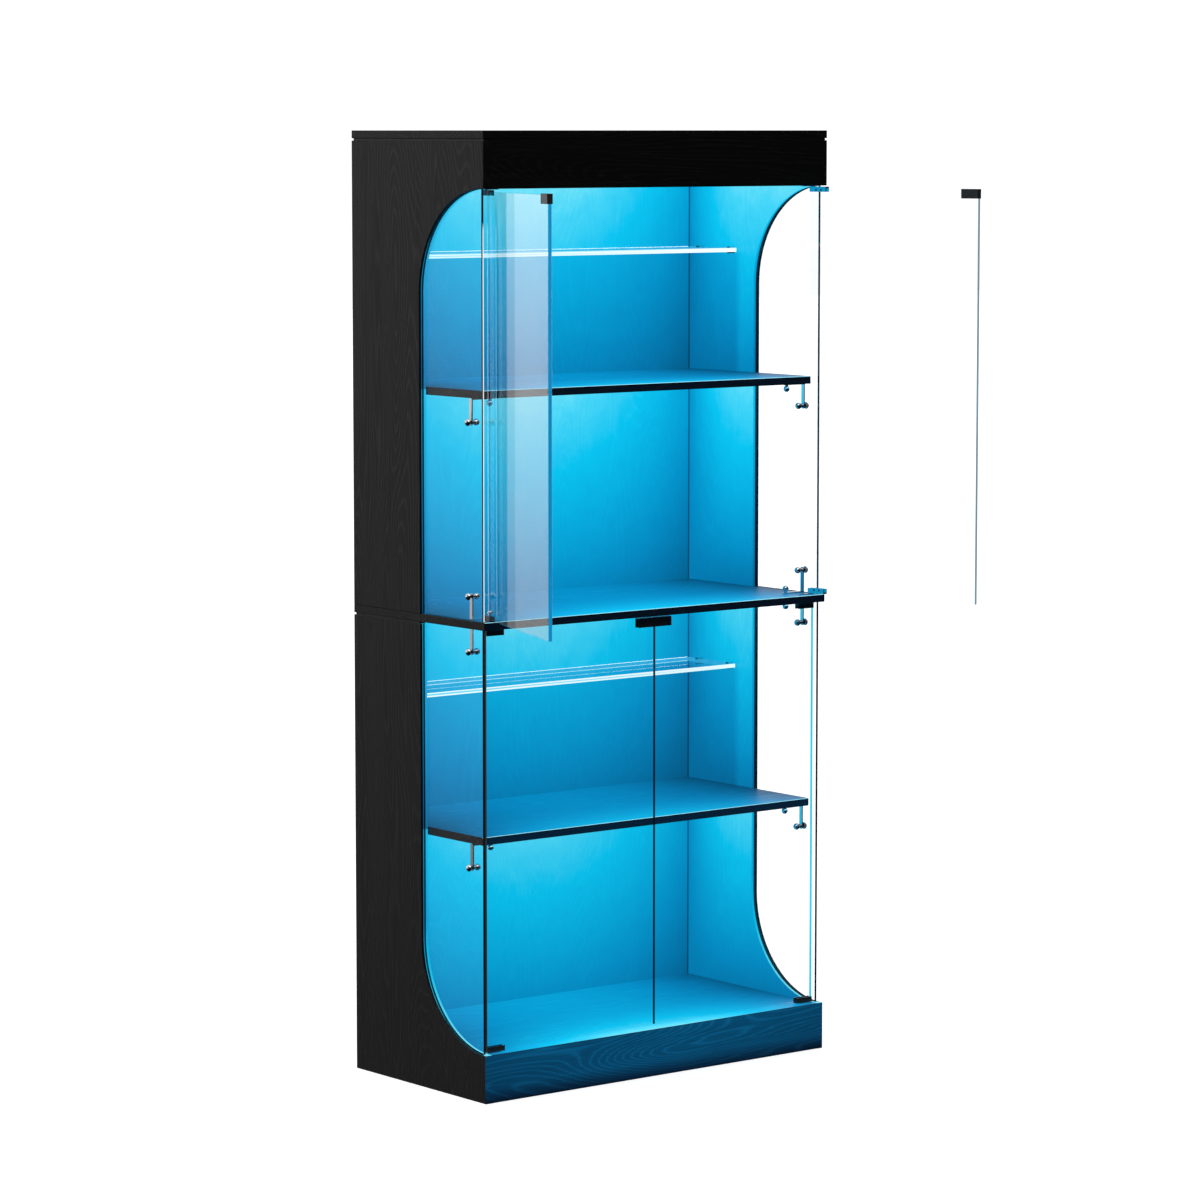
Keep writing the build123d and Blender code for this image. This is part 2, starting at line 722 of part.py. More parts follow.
def flat_screw(origin, axis, grip):
    """A headless screw flush at the origin, with a socket: it runs back through the grip and the wood."""
    end = -(grip + wood_screw_depth - fit_play)
    with BuildPart() as screw:
        with BuildSketch(axial_plane(origin, axis)):
            with Locations((wood_screw_radius / 2, end / 2)):
                Rectangle(wood_screw_radius, -end)
        revolve(axis=Axis(origin, axis))
        with BuildSketch(Plane(origin=origin, z_dir=axis)):
            RegularPolygon(grub_socket, 6)
        extrude(amount=-grub_socket, mode=Mode.SUBTRACT)
    return screw.part


with BuildPart() as fitting_screws:
    for floor_z, roof_z in storeys.values():
        for x, y in plate_points:
            add(flat_screw((x, y, floor_z + plate_thickness), (0, 0, 1), plate_thickness))
            add(flat_screw((x, y, roof_z - plate_thickness), (0, 0, -1), plate_thickness))
        for x, y in catch_points:
            add(flat_screw((x, y, roof_z), (0, 0, -1), catch_height))
pieces["fitting_screws"] = fitting_screws.part

for storey, (floor_z, roof_z) in storeys.items():
    with BuildPart() as catch:
        catch_block(roof_z)
        rods_z(catch_points, roof_z, roof_z + catch_height, pilot)
    pieces[f"{storey}_magnetic_catch"] = catch.part


# Doors -------------------------------------------------------------------------------------------
def door_plane(side, angle, z, way):
    """Plane at a door's pivot: local x runs to the free edge, and its normal points up or down."""
    turn = radians(angle)
    toward_free_edge = (-side * cos(turn), -sin(turn), 0)
    return Plane(origin=(side * pivot_x, door_middle_y, z), x_dir=toward_free_edge, z_dir=(0, 0, way))


def door_slab(plane, x0, x1, thickness, low, high, mode=Mode.ADD):
    """A straight slab along the door between two distances from the pivot."""
    with BuildSketch(plane.offset(low)) as outline:
        with Locations(((x0 + x1) / 2, 0)):
            Rectangle(x1 - x0, thickness)
    extrude(outline.sketch, amount=high - low, mode=mode)


def inner_plane(side, angle, along, z):
    """Plane on a door's middle, facing the inside of the cabinet when the door is shut."""
    turn = radians(angle)
    inward = (-side * sin(turn), cos(turn), 0)
    x = side * (pivot_x - along * cos(turn))
    y = door_middle_y - along * sin(turn)
    return Plane(origin=(x, y, z), x_dir=(0, 0, 1), z_dir=inward)


def grub_hole(place, outer_half):
    """Cut the hole for a grub screw through a clamp's inner wall."""
    with BuildSketch(place.offset(door_glass / 2)) as hole:
        Circle(grub_radius + fit_play)
    extrude(hole.sketch, amount=outer_half - door_glass / 2, mode=Mode.SUBTRACT)


def grub_screw(place, outer_half):
    """A headless screw in a clamp's inner wall, with a hexagon socket."""
    with BuildPart() as grub:
        with BuildSketch(place.offset(door_glass / 2)):
            Circle(grub_radius)
        extrude(amount=outer_half - door_glass / 2)
        with BuildSketch(place.offset(outer_half)):
            RegularPolygon(grub_socket, 6)
        extrude(amount=-grub_socket, mode=Mode.SUBTRACT)
    return grub.part


def clamp_screw_planes(side, angle, face_z, way):
    """Planes of the two grub screws in the clamp at one end of a door."""
    z = face_z + way * (clamp_gap + grub_rise)
    return [inner_plane(side, angle, along, z) for along in grub_along]


def hinge_clamp(side, angle, face_z, way):
    """A channel over the glass corner, with the bore for the pivot pin and two screw holes."""
    plane = door_plane(side, angle, face_z + way * clamp_gap, way)
    clamp_end = clamp_length - edge_to_pivot
    with BuildPart() as clamp:
        door_slab(plane, -edge_to_pivot, clamp_end, clamp_thickness, 0, clamp_height)
        fillet(clamp.edges().filter_by(Axis.Z), clamp_rounding)
        door_slab(plane, -edge_to_pivot, clamp_end, door_glass, clamp_floor, clamp_height, Mode.SUBTRACT)
        with BuildSketch(plane) as bore:
            Circle(pin_radius + pin_play)
        extrude(bore.sketch, amount=clamp_floor, mode=Mode.SUBTRACT)
        for place in clamp_screw_planes(side, angle, face_z, way):
            grub_hole(place, clamp_thickness / 2)
    return clamp.part


for (storey, name), angle in door_angles.items():
    side = sides[name]
    floor_z, roof_z = storeys[storey]
    glass_low = floor_z + door_play
    glass_high = roof_z - door_play
    door = f"{storey}_{name}_door"

    with BuildPart() as glass:
        door_slab(
            door_plane(side, angle, 0, 1), -edge_to_pivot, free_edge_from_pivot, door_glass,
            glass_low, glass_high,
        )
        chamfer(glass.edges(), glass_edge_chamfer)
    pieces[f"{door}_glass"] = glass.part

    door_ends = ((floor_z, 1), (roof_z, -1))
    with BuildPart() as clamps:
        for face_z, way in door_ends:
            add(hinge_clamp(side, angle, face_z, way))
    pieces[f"{door}_hinge_clamps"] = clamps.part

    clip_end = free_edge_from_pivot + clip_end_wall
    clip_start = clip_end - clip_length
    clip_top = glass_high + clip_roof
    clip_place = inner_plane(side, angle, (clip_start + clip_end) / 2, clip_top - clip_screw_drop)
    with BuildPart() as clip:
        plane = door_plane(side, angle, 0, 1)
        door_slab(plane, clip_start, clip_end, clip_thickness, clip_top - clip_height, clip_top)
        fillet(clip.edges().filter_by(Axis.Z), clip_rounding)
        glass_end = free_edge_from_pivot
        door_slab(
            plane, clip_start, glass_end, door_glass, clip_top - clip_height, glass_high, Mode.SUBTRACT
        )
        grub_hole(clip_place, clip_thickness / 2)
    pieces[f"{door}_clip_handle"] = clip.part

    with BuildPart() as grubs:
        for face_z, way in door_ends:
            for place in clamp_screw_planes(side, angle, face_z, way):
                add(grub_screw(place, clamp_thickness / 2))
        add(grub_screw(clip_place, clip_thickness / 2))
    pieces[f"{door}_grub_screws"] = grubs.part

for label, piece in pieces.items():
    piece.label = label
    export_step(piece, f"parts/{label}.step")
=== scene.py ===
import json
import math

import bpy
from mathutils import Matrix, Vector


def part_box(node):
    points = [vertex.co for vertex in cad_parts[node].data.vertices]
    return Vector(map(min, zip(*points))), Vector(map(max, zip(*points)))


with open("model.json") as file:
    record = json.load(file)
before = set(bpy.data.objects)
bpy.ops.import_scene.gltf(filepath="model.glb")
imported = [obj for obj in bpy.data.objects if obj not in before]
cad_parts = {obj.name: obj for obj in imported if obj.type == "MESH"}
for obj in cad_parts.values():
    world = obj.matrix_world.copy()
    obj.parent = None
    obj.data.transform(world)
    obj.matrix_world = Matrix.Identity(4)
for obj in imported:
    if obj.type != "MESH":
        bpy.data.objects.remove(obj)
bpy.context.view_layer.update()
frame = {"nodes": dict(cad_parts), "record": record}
scene = bpy.context.scene
nodes = frame["nodes"]

# Heights and depths that the glow follows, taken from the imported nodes
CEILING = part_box("ceiling_panel")[0].z
UPPER_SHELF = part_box("upper_wood_shelf")
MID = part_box("mid_panel")
LOWER_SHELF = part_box("lower_wood_shelf")
UPPER_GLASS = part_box("upper_glass_shelf")
LOWER_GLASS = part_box("lower_glass_shelf")
INNER_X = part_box("upper_back_panel")[1].x
INNER_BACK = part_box("upper_back_panel")[0].y
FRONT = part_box("fascia_board")[0].y
FLOOR_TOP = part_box("bottom_panel")[1].z


# Small helpers for node graphs --------------------------------------------------------------------
class Graph:
    """A material's node graph, with one call per node."""

    def __init__(self, name):
        self.mat = bpy.data.materials.new(name)
        self.mat.use_nodes = True
        self.tree = self.mat.node_tree
        self.tree.nodes.clear()
        self.coord = self.tree.nodes.new("ShaderNodeTexCoord").outputs["Object"]

    def put(self, socket, value):
        if isinstance(value, bpy.types.NodeSocket):
            self.tree.links.new(value, socket)
        elif value is not None:
            socket.default_value = value

    def node(self, kind, values=None, **settings):
        made = self.tree.nodes.new("ShaderNode" + kind)
        for key, value in settings.items():
            setattr(made, key, value)
        for key, value in (values or {}).items():
            self.put(made.inputs[key], value)
        return made

    def math(self, operation, a, b=None):
        made = self.node("Math", operation=operation)
        self.put(made.inputs[0], a)
        self.put(made.inputs[1], b)
        return made.outputs[0]

    def times(self, a, b):
        return self.math("MULTIPLY", a, b)

    def plus(self, a, b):
        return self.math("ADD", a, b)

    def less(self, a, b):
        return self.math("SUBTRACT", a, b)

    def axes(self):
        split = self.node("SeparateXYZ", {"Vector": self.coord})
        return [split.outputs[axis] for axis in "XYZ"]

    def stretched(self, scale):
        return self.node("Mapping", {"Vector": self.coord, "Scale": scale}).outputs["Vector"]

    def noise(self, vector, scale, detail=3.0, rough=0.55, distortion=0.0):
        values = {
            "Vector": vector, "Scale": scale, "Detail": detail, "Roughness": rough,
            "Distortion": distortion,
        }
        return self.node("TexNoise", values).outputs["Fac"]

    def ramp(self, factor, stops):
        made = self.node("ValToRGB", {"Fac": factor})
        band = made.color_ramp
        while len(band.elements) < len(stops):
            band.elements.new(0.5)
        for element, (place, colour) in zip(band.elements, stops):
            element.position = place
            element.color = (*colour, 1.0)
        return made.outputs["Color"]

    def span(self, value, low, high, to_low=0.0, to_high=1.0):
        keys = {
            "Value": value, "From Min": low, "From Max": high, "To Min": to_low, "To Max": to_high,
        }
        return self.node("MapRange", keys, clamp=True).outputs["Result"]

    def bump(self, height, distance, strength=1.0):
        values = {"Height": height, "Distance": distance, "Strength": strength}
        return self.node("Bump", values).outputs["Normal"]

    def principled(self, **values):
        keys = {key.replace("_", " "): value for key, value in values.items()}
        return self.node("BsdfPrincipled", keys)

    def finish(self, shader):
        out = self.node("OutputMaterial")
        self.tree.links.new(shader, out.inputs["Surface"])
        return self.mat


# Painted light on the inner faces: an emission in place of the strips' light ----------------------
# A level from 0 to 1 becomes a colour. A fall is the loss of level per metre, or per square metre
# for a sideways one. A step is the two heights or depths, in metres, that a change runs between.
GLOW_STOPS = (
    (0.0, (0.0, 0.0, 0.0)),
    (0.02, (0.001, 0.018, 0.05)),
    (0.17, (0.001, 0.17, 0.39)),
    (0.26, (0.001, 0.262, 0.55)),
    (0.40, (0.002, 0.40, 0.72)),
    (0.55, (0.003, 0.546, 0.87)),
    (0.68, (0.06, 0.66, 0.93)),
    (0.80, (0.18, 0.79, 0.95)),
)
SURFACE_PLAY = 0.005
# GLASS_SHELF_STEP and the UNDER_GLASS levels shape the painted shadow under the glass shelves
GLASS_SHELF_STEP = (-0.006, 0.004)
LIT_CEILING = CEILING + 0.0005
BACK_AT_LIGHT = 0.79
BACK_FALL = 1.32
BACK_SIDEWAYS_FALL = 3.4
BACK_UNDER_GLASS = 0.77
# BACK_SEAM and SIDE_SEAM are painted shade: the painted light fades to them along the back corners
BACK_SEAM = 0.35
BACK_SEAM_STEP = (INNER_X - 0.0025, INNER_X - 0.001)
SIDE_AT_LIGHT = 0.74
SIDE_FALL = 1.4
SIDE_REAR_START = 0.02
SIDE_REAR_DIMMING = 15.6
SIDE_REAR_EVENING = 41.0
SIDE_UNDER_GLASS = 0.72
SIDE_SEAM = 0.3
SIDE_SEAM_STEP = (INNER_BACK - 0.003, INNER_BACK - 0.001)
SIDE_SHELF_STEP = (0.03, 0.05)
TOP_AT_REAR = 0.24
TOP_AT_FRONT = 0.27
TOP_FRONT_START = 0.05
TOP_FRONT_LENGTH = 0.24
TOP_FRONT_POWER = 2.4
TOP_SIDEWAYS_FALL = 4.7
BOTTOM_PANEL_GAIN = 1.45
BOTTOM_PANEL_STEP = (0.2, 0.4)
UNDERSIDE = 0.22
UNDERSIDE_SIDEWAYS_FALL = 0.5
NOSE_LOW = 0.013
NOSE_HIGH = 0.004
NOSE_STEP = (0.6, 0.7)
CUT_AT_LIGHT = 0.5
CUT_FALL = 0.9
CUT_LOW_GAIN = 0.62
CUT_STEP = (0.10, 0.32)
PLINTH_FOOT = 0.060
PLINTH_HEAD = 0.078
PLINTH_SHADOW = 0.12
PLINTH_SHADOW_HEIGHT = 0.030
PLINTH_SIDEWAYS_FALL = 1.2


def depth_below_light(g, z):
    """How far a point lies below the light strip of its own compartment."""
    top = LOWER_SHELF[0].z
    for floor_z, ceiling_z, below in (
        (LOWER_SHELF[1].z, MID[0].z, LOWER_SHELF[0].z),
        (MID[1].z, UPPER_SHELF[0].z, MID[0].z),
        (UPPER_SHELF[1].z, CEILING, UPPER_SHELF[0].z),
    ):
        step = g.math("GREATER_THAN", z, floor_z - SURFACE_PLAY)
        top = g.plus(top, g.times(step, ceiling_z - below))
    return g.less(top, z)


def glass_shelf_shadow(g, z, dimming):
    """A painted shadow of the glass shelves: a factor that is lower in the two zones under them."""
    total = 0.0
    for low, high in ((UPPER_SHELF[1].z, UPPER_GLASS[0].z), (LOWER_SHELF[1].z, LOWER_GLASS[0].z)):
        above_floor = g.math("GREATER_THAN", z, low - SURFACE_PLAY)
        under_glass = g.span(z, high + GLASS_SHELF_STEP[0], high + GLASS_SHELF_STEP[1], 1.0, 0.0)
        total = g.plus(total, g.times(above_floor, under_glass))
    return g.less(1.0, g.times(total, 1.0 - dimming))


def weaker_sideways(g, level, x, fall):
    """A level that drops with the square of the distance from the middle of the cabinet."""
    return g.times(level, g.less(1.0, g.times(g.times(x, x), fall)))


def back_glow(g, x, y, z):
    fall = g.less(BACK_AT_LIGHT, g.times(depth_below_light(g, z), BACK_FALL))
    level = weaker_sideways(g, fall, x, BACK_SIDEWAYS_FALL)
    level = g.times(level, glass_shelf_shadow(g, z, BACK_UNDER_GLASS))
    return g.times(level, g.span(g.math("ABSOLUTE", x), *BACK_SEAM_STEP, 1.0, BACK_SEAM))


def side_glow(g, x, y, z):
    rear = g.math("MAXIMUM", g.less(y, SIDE_REAR_START), 0.0)
    rear = g.times(rear, rear)
    start = g.less(SIDE_AT_LIGHT, g.times(rear, SIDE_REAR_DIMMING))
    slope = g.less(SIDE_FALL, g.times(rear, SIDE_REAR_EVENING))
    shelf_dim = glass_shelf_shadow(g, z, SIDE_UNDER_GLASS)
    behind = g.span(y, *SIDE_SHELF_STEP)
    dim = g.plus(g.times(behind, shelf_dim), g.less(1.0, behind))
    level = g.times(g.less(start, g.times(slope, depth_below_light(g, z))), dim)
    return g.times(level, g.span(y, *SIDE_SEAM_STEP, 1.0, SIDE_SEAM))


def top_glow(g, x, y, z):
    forward = g.times(g.less(TOP_FRONT_START, y), 1 / TOP_FRONT_LENGTH)
    forward = g.math("POWER", g.math("MAXIMUM", forward, 0.0), TOP_FRONT_POWER)
    level = g.plus(TOP_AT_REAR, g.times(forward, TOP_AT_FRONT))
    level = weaker_sideways(g, level, x, TOP_SIDEWAYS_FALL)
    return g.times(level, g.span(z, *BOTTOM_PANEL_STEP, BOTTOM_PANEL_GAIN, 1.0))


def under_glow(g, x, y, z):
    return g.less(UNDERSIDE, g.times(g.times(x, x), UNDERSIDE_SIDEWAYS_FALL))


def nose_glow(g, x, y, z):
    return g.span(z, *NOSE_STEP, NOSE_LOW, NOSE_HIGH)


# Painted light on the cut edges, with a painted lit rim low down
def cut_glow(g, x, y, z):
    level = g.less(CUT_AT_LIGHT, g.times(depth_below_light(g, z), CUT_FALL))
    return g.plus(level, g.span(z, *CUT_STEP, CUT_LOW_GAIN, 0.0))


# Painted light on the plinth's front, fading sideways, with a painted shadow along its foot
def plinth_glow(g, x, y, z):
    level = g.span(z, 0.0, FLOOR_TOP, PLINTH_FOOT, PLINTH_HEAD)
    level = g.times(level, g.span(z, 0.0, PLINTH_SHADOW_HEIGHT, PLINTH_SHADOW, 1.0))
    return weaker_sideways(g, level, x, PLINTH_SIDEWAYS_FALL)


GLOWS = {
    "back": back_glow, "side": side_glow, "top": top_glow, "under": under_glow, "nose": nose_glow,
    "cut": cut_glow, "plinth": plinth_glow,
}


def glow_level(g, face):
    """Brightness of the strips' light on one kind of inner face, and none outside the lit space."""
    x, y, z = g.axes()
    level = GLOWS[face](g, x, y, z)
    level = g.times(level, g.math("LESS_THAN", z, LIT_CEILING))
    if face in ("top", "under"):
        level = g.times(level, g.math("LESS_THAN", g.math("ABSOLUTE", x), INNER_X + SURFACE_PLAY))
    return g.math("MAXIMUM", level, 0.0)


# Materials ----------------------------------------------------------------------------------------
RING_COUNT = 52
RING_WOBBLE = 0.012
RING_SHARPNESS = 5.0
FIBRE_SHARE = 0.42
RING_SHARE = 0.26
BLOTCH_SHARE = 0.22
ACROSS_FIBRE = 260.0
ALONG_FIBRE = 3.0
ACROSS_RINGS = 7.5
ALONG_RINGS = 1.1
PORE_FINENESS = 2.2
BLOTCH_FINENESS = 1.6
PORE_LIMIT = 0.64
PORE_DEPTH = -0.5
FIBRE_HEIGHT = 0.5
RING_HEIGHT = 0.45
GRAIN_RANGE = (0.25, 0.65)
WOOD_TONES = (
    (0.25, (0.0020, 0.0021, 0.0025)),
    (0.45, (0.0046, 0.0048, 0.0053)),
    (0.70, (0.0150, 0.0153, 0.0160)),
)
BLACK_SPECULAR = 0.32
LIT_SPECULAR = 0.3
PLINTH_GRAIN_CONTRAST = 0.30
LIT_GRAIN_CONTRAST = 0.02


def grain_scale(along, length, across):
    """Noise scales that are long in the grain's direction and short across it."""
    return tuple(length if axis == along else across for axis in "XYZ")


def black_wood(name, along, glow=None):
    """Black wood-grain board. along is the grain's axis; glow names the kind of lit inner face,
    whose light is painted on as an emission.
    """
    g = Graph(name)
    fine = grain_scale(along, ALONG_FIBRE, ACROSS_FIBRE)
    broad = grain_scale(along, ALONG_RINGS, ACROSS_RINGS)
    pore_scale = tuple(v * PORE_FINENESS for v in fine)
    blotch_scale = tuple(v * BLOTCH_FINENESS for v in broad)
    fibre = g.noise(g.stretched(fine), 1.0, 4.0, 0.6)
    pore = g.noise(g.stretched(pore_scale), 1.0, 2.0, 0.5)
    field = g.noise(g.stretched(broad), 1.0, 1.5, 0.35, 0.25)
    turns = g.plus(field, g.times(fibre, RING_WOBBLE))
    rings = g.math("SINE", g.times(turns, 2 * math.pi * RING_COUNT))
    line = g.math("POWER", g.span(rings, -1.0, 1.0), RING_SHARPNESS)
    blotch = g.noise(g.stretched(blotch_scale), 1.0, 4.0, 0.65, 0.4)
    grain = g.plus(g.times(fibre, FIBRE_SHARE), g.times(line, RING_SHARE))
    grain = g.plus(grain, g.times(blotch, BLOTCH_SHARE))
    open_pore = g.times(g.math("GREATER_THAN", pore, PORE_LIMIT), PORE_DEPTH)
    relief = g.plus(g.times(fibre, FIBRE_HEIGHT), g.times(line, RING_HEIGHT))
    height = g.plus(relief, open_pore)
    values = {
        "Base_Color": g.ramp(grain, WOOD_TONES),
        "Roughness": g.span(grain, *GRAIN_RANGE, 0.50, 0.38),
        "Normal": g.bump(height, 0.0005, 0.55), "IOR": 1.45, "Specular_IOR_Level": BLACK_SPECULAR,
    }
    # Lit faces get the strips' light painted on as an emission, following the grain, with a faint
    # painted mottle
    if glow:
        contrast = PLINTH_GRAIN_CONTRAST if glow == "plinth" else LIT_GRAIN_CONTRAST
        mottle = g.noise(g.coord, 26.0, 5.0, 0.7)
        level = glow_level(g, glow)
        level = g.times(level, g.span(grain, *GRAIN_RANGE, 1.0 - contrast, 1.0 + contrast))
        level = g.times(level, g.span(mottle, 0.25, 0.75, 0.95, 1.05))
        values["Emission_Color"] = g.ramp(level, GLOW_STOPS)
        values["Emission_Strength"] = 1.0
        values["Specular_IOR_Level"] = LIT_SPECULAR
    return g.finish(g.principled(**values).outputs[0])


# A bare pane mirrors little head-on and more at a glancing angle
FRESNEL_HEAD_ON = 0.04
FRESNEL_POWER = 5.0
EDGE_STREAKS = (60.0, 60.0, 6.0)
EDGE_ROUGHNESS = (0.2, 0.2 + 0.1)
# Dark glass edges: their own dark colour and the faint light painted on them
DARK_EDGE_BASE = (0.003, 0.006, 0.008)
DARK_EDGE_GLOW = (0.001, 0.006, 0.01)


def pane(name, tint, mirror):
    """Clear glass face: it lets light through and mirrors more at a glancing angle."""
    g = Graph(name)
    facing = g.node("LayerWeight", {"Blend": 0.5}).outputs["Facing"]
    rise = g.times(g.math("POWER", facing, FRESNEL_POWER), 1.0 - FRESNEL_HEAD_ON)
    schlick = g.plus(FRESNEL_HEAD_ON, rise)
    smudge = g.span(g.noise(g.coord, 14.0, 4.0, 0.65), 0.35, 0.75, 0.94, 1.06)
    share = g.times(g.times(schlick, mirror), smudge)
    clear = g.node("BsdfTransparent", {"Color": (*tint, 1.0)}).outputs[0]
    wave = g.bump(g.noise(g.coord, 5.0, 1.0), 0.0006, 0.15)
    shine = {"Color": (0.96, 0.98, 1.0, 1.0), "Roughness": 0.03, "Normal": wave}
    gloss = g.node("BsdfAnisotropic", shine).outputs[0]
    mix = g.node("MixShader", {0: share, 1: clear, 2: gloss})
    return g.finish(mix.outputs[0])


def pane_edge(name, base, glow, strength=1.0, culled=True):
    """The polished edge of a pane, which carries light from inside the glass; that light is painted
    on as an emission.

    A culled edge is clear from behind, so that it doesn't show through the pane's own faces.
    """
    g = Graph(name)
    streak = g.noise(g.stretched(EDGE_STREAKS), 1.0, 3.0)
    low = tuple(c * 0.82 for c in glow)
    light = g.ramp(streak, ((0.35, low), (0.65, glow)))
    shader = g.principled(
        Base_Color=(*base, 1.0), Roughness=g.span(streak, 0.3, 0.7, *EDGE_ROUGHNESS), IOR=1.5,
        Emission_Color=light, Emission_Strength=strength,
    ).outputs[0]
    if culled:
        behind = g.node("NewGeometry").outputs["Backfacing"]
        clear = g.node("BsdfTransparent").outputs[0]
        shader = g.node("MixShader", {0: behind, 1: shader, 2: clear}).outputs[0]
    return g.finish(shader)


LINE_FADE = 0.015


def split_edge(name, place, line_top):
    """A dark front edge with a painted bright line of light on the inner side of place, that ends
    at line_top.
    """
    g = Graph(name)
    x, _, z = g.axes()
    streak = g.noise(g.stretched(EDGE_STREAKS), 1.0, 3.0)
    bright = g.math("GREATER_THAN", x, place)
    bright = g.times(bright, g.span(z, line_top - LINE_FADE, line_top, 1.0, 0.0))
    bright = g.times(bright, g.span(streak, 0.3, 0.7, 0.8, 1.0))
    light = g.ramp(bright, ((0.0, DARK_EDGE_GLOW), (1.0, (1.0, 0.95, 0.92))))
    shader = g.principled(
        Base_Color=(*DARK_EDGE_BASE, 1.0), Roughness=g.span(streak, 0.3, 0.7, 0.2, 0.3), IOR=1.5,
        Emission_Color=light, Emission_Strength=1.0,
    )
    return g.finish(shader.outputs[0])


def shelf_edge(name):
    """The lit front of a glass shelf: painted light in white bands and cyan ones along its length.
    """
    g = Graph(name)
    band = g.noise(g.stretched((0.8, 30.0, 520.0)), 1.0, 2.0, 0.5)
    light = g.ramp(band, (
        (0.30, (0.05, 0.62, 0.86)),
        (0.42, (0.45, 0.88, 0.96)),
        (0.50, (0.90, 1.0, 1.0)),
        (0.62, (1.0, 1.0, 1.0)),
    ))
    shader = g.principled(
        Base_Color=(0.3, 0.4, 0.42, 1.0), Roughness=g.span(band, 0.3, 0.7, 0.1, 0.25), IOR=1.5,
        Emission_Color=light, Emission_Strength=1.0,
    )
    return g.finish(shader.outputs[0])


def metal(
    name, colour, roughness, metallic=1.0, speckle=700.0, spread=0.06, bump=0.00003, light=None,
):
    """Metal, coat or plastic with a fine surface texture; light is painted light, an emission for
    the strips' light that falls on it.
    """
    g = Graph(name)
    grit = g.noise(g.coord, speckle, 3.0, 0.6)
    cloud = g.noise(g.coord, 45.0, 3.0, 0.5)
    tone = g.plus(g.times(grit, 0.5), g.times(cloud, 0.5))
    shade = g.ramp(tone, ((0.3, tuple(c * 0.88 for c in colour)), (0.7, colour)))
    values = {
        "Base_Color": shade, "Metallic": metallic, "IOR": 1.5, "Normal": g.bump(grit, bump, 0.6),
        "Roughness": g.span(tone, 0.3, 0.7, roughness, roughness + spread),
    }
    if light:
        dim = tuple(c * 0.7 for c in light)
        values["Emission_Color"] = g.ramp(tone, ((0.3, dim), (0.7, light)))
        values["Emission_Strength"] = 1.0
    return g.finish(g.principled(**values).outputs[0])


def raw_wood(name):
    """Pale dowel wood with fine grain."""
    g = Graph(name)
    grain = g.noise(g.stretched((40.0, 400.0, 400.0)), 1.0, 4.0)
    colour = g.ramp(grain, ((0.3, (0.42, 0.27, 0.15)), (0.7, (0.60, 0.43, 0.27))))
    shader = g.principled(Base_Color=colour, Roughness=0.7, Normal=g.bump(grain, 0.0002, 0.5))
    return g.finish(shader.outputs[0])


LIGHT_PITCH = 0.032


def frosted(name):
    """The lit cover of a light channel: brighter over each light on the strip."""
    g = Graph(name)
    x, _, _ = g.axes()
    beat = g.math("ABSOLUTE", g.math("SINE", g.times(x, math.pi / LIGHT_PITCH)))
    haze = g.noise(g.coord, 300.0, 2.0)
    level = g.plus(g.span(beat, 0.0, 1.0, 0.72, 1.0), g.times(haze, 0.05))
    colour = g.ramp(level, ((0.70, (0.10, 0.62, 0.95)), (1.0, (0.45, 0.86, 1.0))))
    shader = g.principled(
        Base_Color=(0.5, 0.8, 0.9, 1.0), Roughness=0.6, Normal=g.bump(haze, 0.0001, 0.4),
        Emission_Color=colour, Emission_Strength=1.6,
    )
    return g.finish(shader.outputs[0])


WOOD = {
    "upright": black_wood("black_wood_upright", "Z"),
    "level": black_wood("black_wood_level", "X"),
    "rail": black_wood("black_wood_rail", "X"),
    "back": black_wood("lit_wood_back", "Z", glow="back"),
    "side": black_wood("lit_wood_side", "Z", glow="side"),
    "top": black_wood("lit_wood_top", "X", glow="top"),
    "under": black_wood("lit_wood_under", "X", glow="under"),
    "cut": black_wood("lit_wood_cut", "Z", glow="cut"),
    "nose": black_wood("lit_wood_nose", "X", glow="nose"),
    "plinth": black_wood("lit_wood_plinth", "X", glow="plinth"),
}
CLEAR = pane("clear_glass", (0.995, 0.997, 0.998), mirror=0.45)
DOOR = pane("door_glass", (0.995, 0.998, 0.999), mirror=1.0)
SHELF = pane("shelf_glass", (0.86, 0.95, 0.98), mirror=0.45)
# The edge looks below, save the faint one, have the light that glass edges and board rims catch
# painted on as an emission
DARK_EDGE = pane_edge("dark_glass_edge", DARK_EDGE_BASE, DARK_EDGE_GLOW)
DEEP_EDGE = pane_edge("deep_glass_edge", (0.01, 0.06, 0.09), (0.002, 0.26, 0.55))
PALE_EDGE = pane_edge("pale_glass_edge", (0.16, 0.20, 0.22), (0.16, 0.26, 0.32))
CYAN_EDGE = pane_edge("cyan_glass_edge", (0.01, 0.12, 0.16), (0.02, 0.62, 0.84), culled=False)
END_EDGE = pane_edge("shelf_end_edge", (0.02, 0.12, 0.16), (0.04, 0.42, 0.70), culled=False)
BACK_EDGE = pane_edge("shelf_back_edge", (0.05, 0.2, 0.26), (0.05, 0.48, 0.76), culled=False)
BACK_LINE = pane_edge("shelf_back_line", (0.3, 0.3, 0.3), (1.0, 1.0, 1.0), 2.0, culled=False)
GONE_EDGE = pane("faint_glass_edge", (0.97, 0.985, 0.99), mirror=0.3)
WHITE_EDGE = shelf_edge("bright_glass_edge")
LINE_INSET = 0.0028
LINE_BELOW_CEILING = 0.060
SPLIT_EDGE = split_edge(
    "split_glass_edge",
    place=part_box("upper_side_glass_left")[0].x + LINE_INSET,
    line_top=CEILING - LINE_BELOW_CEILING,
)
LIT_RIM = pane_edge("lit_board_rim", (0.01, 0.02, 0.02), (0.32, 0.80, 0.95), 1.3, culled=False)
COAT = {"metallic": 0.0, "speckle": 900.0, "spread": 0.1, "bump": 0.00006}
BLACK_METAL = metal("black_coat", (0.034, 0.034, 0.036), 0.32, **COAT)
